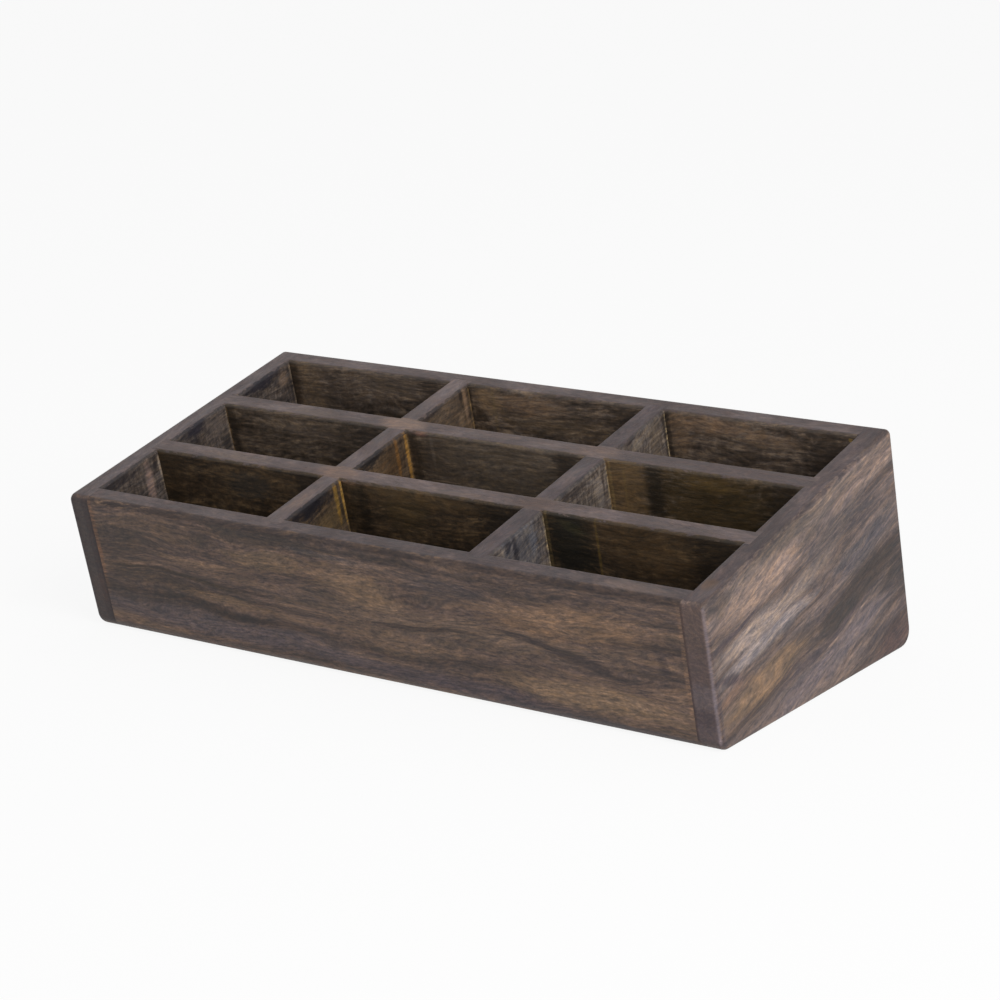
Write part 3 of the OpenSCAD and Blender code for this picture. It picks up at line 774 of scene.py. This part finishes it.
# cross dividers, slotted from above
leftCrossLook = {
    "grain": "v", "seed": 3.8, "drift": 1, "contrast": 0.9,
    "tones": dividerTones, "rim": ("#4e4241", "#5a4d4c", "#695c5b"),
    "rimMarks": [((-57, 30), (4, 12), "#766157", 0.5)],
    "inside": {
        "tones": ("#2c221c", "#46382c", "#634f3a"), "wipes": ("#33271f", "#715d48"), "reach": 60,
        "amount": 0.4, "rimShade": 1, "shade": "#221c20", "shadeAmount": 0.6, "glue": "#94774a",
        "glueWidth": 1.4, "glueAmount": 0.4,
        "marks": [
            ((141, -10), (22, 40), "#574a40", 0.65), ((155.5, -3), (1.6, 6), "#261e1a", 0.8),
            ((158.6, -8), (1.6, 14), "#866d58", 0.7), ((153, -15), (3, 4), "#7d6752", 0.6),
            ((130, -1), (10, 2), "#2a2224", 0.7), ((79, -1), (14, 5), "#1b1718", 0.9),
            ((92, -12), (10, 12), "#4b3826", 0.6), ((99, -10), (1.6, 14), "#7a5428", 0.6),
            ((103.4, -8), (1, 14), "#33241b", 0.5), ((29, -2), (19, 7), "#17151c", 0.95),
            ((44, -16), (14, 7), "#5b4a33", 0.7), ((49, -7), (1.6, 14), "#8d6c30", 0.7),
            ((53.4, -9), (0.9, 14), "#b3893f", 0.7), ((107, -12), (1.5, 18), "#b5843c", 0.6),
            ((51.5, -15), (1.4, 6), "#2a211a", 0.7),
        ],
    },
}
rightCrossLook = {
    "grain": "v", "seed": 7.1, "drift": -1, "contrast": 0.9,
    "tones": dividerTones, "rim": ("#3e3435", "#473c3d", "#544849"),
    "rimMarks": [((57, 88), (4, 10), "#5c504e", 0.5)],
    "inside": {
        "tones": ("#342c2a", "#544943", "#7a6e64"), "wipes": ("#3b3330", "#8d8178"), "reach": 60,
        "amount": 0.45, "rimShade": 0.6, "shade": "#241f24", "shadeAmount": 0.6, "glue": "#b09a74",
        "glueWidth": 1.3, "glueAmount": 0.6,
        "marks": [
            ((152, -10), (7, 14), "#6e6154", 0.5), ((161.4, -10), (1.4, 30), "#2b2420", 0.7),
            ((128, -1), (9, 2), "#2e2728", 0.7), ((137, -6), (5, 3), "#857869", 0.5),
            ((84, -3), (12, 4), "#332c2c", 0.6), ((101, -13), (6, 7), "#8c8077", 0.6),
            ((104.5, -9), (1, 10), "#3a3130", 0.7), ((74, -2), (5, 3), "#2c2626", 0.7),
            ((33, -14), (18, 40), "#57565c", 0.6), ((30, -7), (2.4, 9), "#211f27", 0.8),
            ((25, -3), (3, 4), "#211f27", 0.8), ((44, -9), (3, 8), "#77757a", 0.5),
        ],
    },
}
leftCrossWood = makeStainedWood("stainedHardwoodLeftCross", leftCrossLook)
rightCrossWood = makeStainedWood("stainedHardwoodRightCross", rightCrossLook)
for column, name, node, wood in ((0, "leftCrossDivider", "left_cross_divider", leftCrossWood),
                                 (1, "rightCrossDivider", "right_cross_divider", rightCrossWood)):
    start = crossStarts[column]
    crossDivider = addSlopeBlock(name, (start, start + board), (board - tongue, length - board + tongue),
        (deepest, 0))
    sawFoot(crossDivider, caddy["floorTop"])
    takeAway(crossDivider, *crossSlots, binMouths)
    finishBoard(crossDivider, node, wood)

usedCutters = [binMouths, floorRebate, *rowBlocks, *crossBlocks, *crossSlots, *rowSlots[0], *rowSlots[1]]
for cutter in usedCutters:
    bpy.data.objects.remove(cutter)

# floor board of the same stained stock, laid level
floorLook = {
    "grain": "u", "seed": 9.3, "drift": 0.4, "contrast": 0.9,
    "tones": ("#33291f", "#46392e", "#584839"), "rim": ("#33271e", "#46372d", "#584638"),
    "inside": {
        "tones": ("#221b15", "#382c20", "#52412e"), "wipes": ("#221b15", "#52412e"), "reach": 6,
        "amount": 0.3, "rimShade": 1, "shade": "#1e1814", "shadeAmount": 0.5,
    },
}


def layFineGrain(tree, size):
    # a noise in object coordinates, its size in mm
    thing = addNode(tree, "TexCoord")
    scaled = addNode(tree, "Mapping", {"Vector": thing.outputs["Object"],
        "Scale": [side * mm for side in size]})
    return addNode(tree, "TexNoise", {"Vector": scaled, "Scale": 1, "Detail": 3})


# Beech dowels, turned from straight-grained stock: pale pinkish tan wood with short darker flecks
beechDowel = {"tones": ("#b98d5f", "#c99f70", "#d8b184"), "toneRange": (0.35, 0.65),
              "grainSize": (1.2, 1.2, 18), "fleck": "#8f6239", "fleckSize": (0.5, 0.5, 2.2),
              "fleckRange": (0.6, 0.68), "fleckAmount": 0.6, "ior": 1.5, "roughness": 0.6}


def makeBeech():
    material = bpy.data.materials.new("beechDowel")
    tree = clearedTree(material)
    grain = layFineGrain(tree, beechDowel["grainSize"])
    flecks = layFineGrain(tree, beechDowel["fleckSize"])
    colour = addNode(tree, "ValToRGB", {"Fac": grain},
        spaceTones(beechDowel["tones"], *beechDowel["toneRange"]))
    fleckStart, fleckEnd = beechDowel["fleckRange"]
    flecks = addNode(tree, "MapRange", {"Value": flecks, "From Min": fleckStart, "From Max": fleckEnd,
        "To Max": beechDowel["fleckAmount"]})
    colour = addNode(tree, "Mix", {"Factor": flecks, "A": colour, "B": hexColour(beechDowel["fleck"])})
    shader = addNode(tree, "BsdfPrincipled", {"Base Color": colour, "IOR": beechDowel["ior"],
        "Roughness": beechDowel["roughness"]})
    addNode(tree, "OutputMaterial", {"Surface": shader})
    return material


# Steel brads, drawn wire with pressed heads: grey metal with fine lines and a dull, oily sheen
bradSteel = {"colour": "#a7a5a0", "dull": "#7c7873", "lineSize": (0.15, 0.15, 4),
             "roughTones": (0.3, 0.7), "roughness": (0.28, 0.5)}


def makeBradSteel():
    material = bpy.data.materials.new("drawnSteelBrad")
    tree = clearedTree(material)
    lines = layFineGrain(tree, bradSteel["lineSize"])
    colour = addNode(tree, "Mix", {"Factor": lines, "A": hexColour(bradSteel["colour"]),
        "B": hexColour(bradSteel["dull"])})
    roughStart, roughEnd = bradSteel["roughTones"]
    smoothest, roughest = bradSteel["roughness"]
    rough = addNode(tree, "MapRange", {"Value": lines, "From Min": roughStart, "From Max": roughEnd,
        "To Min": smoothest, "To Max": roughest})
    shader = addNode(tree, "BsdfPrincipled", {"Base Color": colour, "Metallic": 1.0, "Roughness": rough})
    addNode(tree, "OutputMaterial", {"Surface": shader})
    return material


# the floor board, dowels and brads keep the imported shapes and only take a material
beechWood = makeBeech()
keptMaterials = {
    "floor_board": makeStainedWood("stainedHardwoodFloor", floorLook), "floor_brads": makeBradSteel(),
    "front_left_dowels": beechWood, "front_right_dowels": beechWood,
    "back_left_dowels": beechWood, "back_right_dowels": beechWood,
}
for node, material in keptMaterials.items():
    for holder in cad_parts[node].material_slots:
        holder.material = material
        print("dressed:", node, "in", material.name)

# studio: pale paper and air that look white to the camera, and one softbox at the right
white = (1, 1, 1, 1)
studio = {"floorSize": 20, "paper": (0.86, 0.86, 0.86, 1), "glowShare": 0.9, "ambient": 0.5}


def seenDirectly(tree):
    # 1 for rays from the camera, off a reflection or through something clear
    rays = addNode(tree, "LightPath")
    seen = addNode(tree, "Math", {0: rays.outputs["Is Camera Ray"], 1: rays.outputs["Is Glossy Ray"]},
        operation="MAXIMUM")
    return addNode(tree, "Math", {0: seen, 1: rays.outputs["Is Transmission Ray"]}, operation="MAXIMUM")


restSelection()
bpy.ops.mesh.primitive_plane_add(size=studio["floorSize"], location=(0, 0, 0))
studioFloor = bpy.context.object
studioFloor.name = "studioFloor"
floorPaper = bpy.data.materials.new("floorPaper")
tree = clearedTree(floorPaper)
share = addNode(tree, "Math", {0: seenDirectly(tree), 1: studio["glowShare"]}, operation="MULTIPLY")
paper = addNode(tree, "BsdfDiffuse", {"Color": studio["paper"]})
glow = addNode(tree, "Emission", {"Color": white, "Strength": 1.0})
mix = addNode(tree, "MixShader", {0: share, 1: paper, 2: glow})
addNode(tree, "OutputMaterial", {"Surface": mix})
studioFloor.data.materials.append(floorPaper)

world = bpy.data.worlds.new("studioAir")
bpy.context.scene.world = world
tree = clearedTree(world)
ambient = addNode(tree, "Background", {"Color": white, "Strength": studio["ambient"]})
backdrop = addNode(tree, "Background", {"Color": white, "Strength": 1.0})
mix = addNode(tree, "MixShader", {0: seenDirectly(tree), 1: ambient, 2: backdrop})
addNode(tree, "OutputWorld", {"Surface": mix})

softbox = {"at": (1.65, -0.77, 1.28), "aim": (0, 0, 0.05), "size": 1.2, "watts": 32}
light = bpy.data.lights.new("keySoftbox", "AREA")
light.size = softbox["size"]
light.energy = softbox["watts"]
lightHolder = bpy.data.objects.new("keySoftbox", light)
bpy.context.scene.collection.objects.link(lightHolder)
lightHolder.location = softbox["at"]
toCaddy = Vector(softbox["aim"]) - lightHolder.location
lightHolder.rotation_euler = toCaddy.to_track_quat("-Z", "Y").to_euler()

# camera where the photographer stood
view = {"at": (0.7302, -1.0410, 0.4065), "turn": (75.132, 1.039, 34.435), "lens": 99.28, "sensor": 36}
camera = bpy.data.cameras.new("camera")
camera.lens = view["lens"]
camera.sensor_width = view["sensor"]
cameraHolder = bpy.data.objects.new("camera", camera)
bpy.context.scene.collection.objects.link(cameraHolder)
cameraHolder.location = view["at"]
cameraHolder.rotation_euler = [radians(angle) for angle in view["turn"]]
bpy.context.scene.camera = cameraHolder
bpy.context.scene.view_settings.view_transform = "Standard"
print("studio ready")
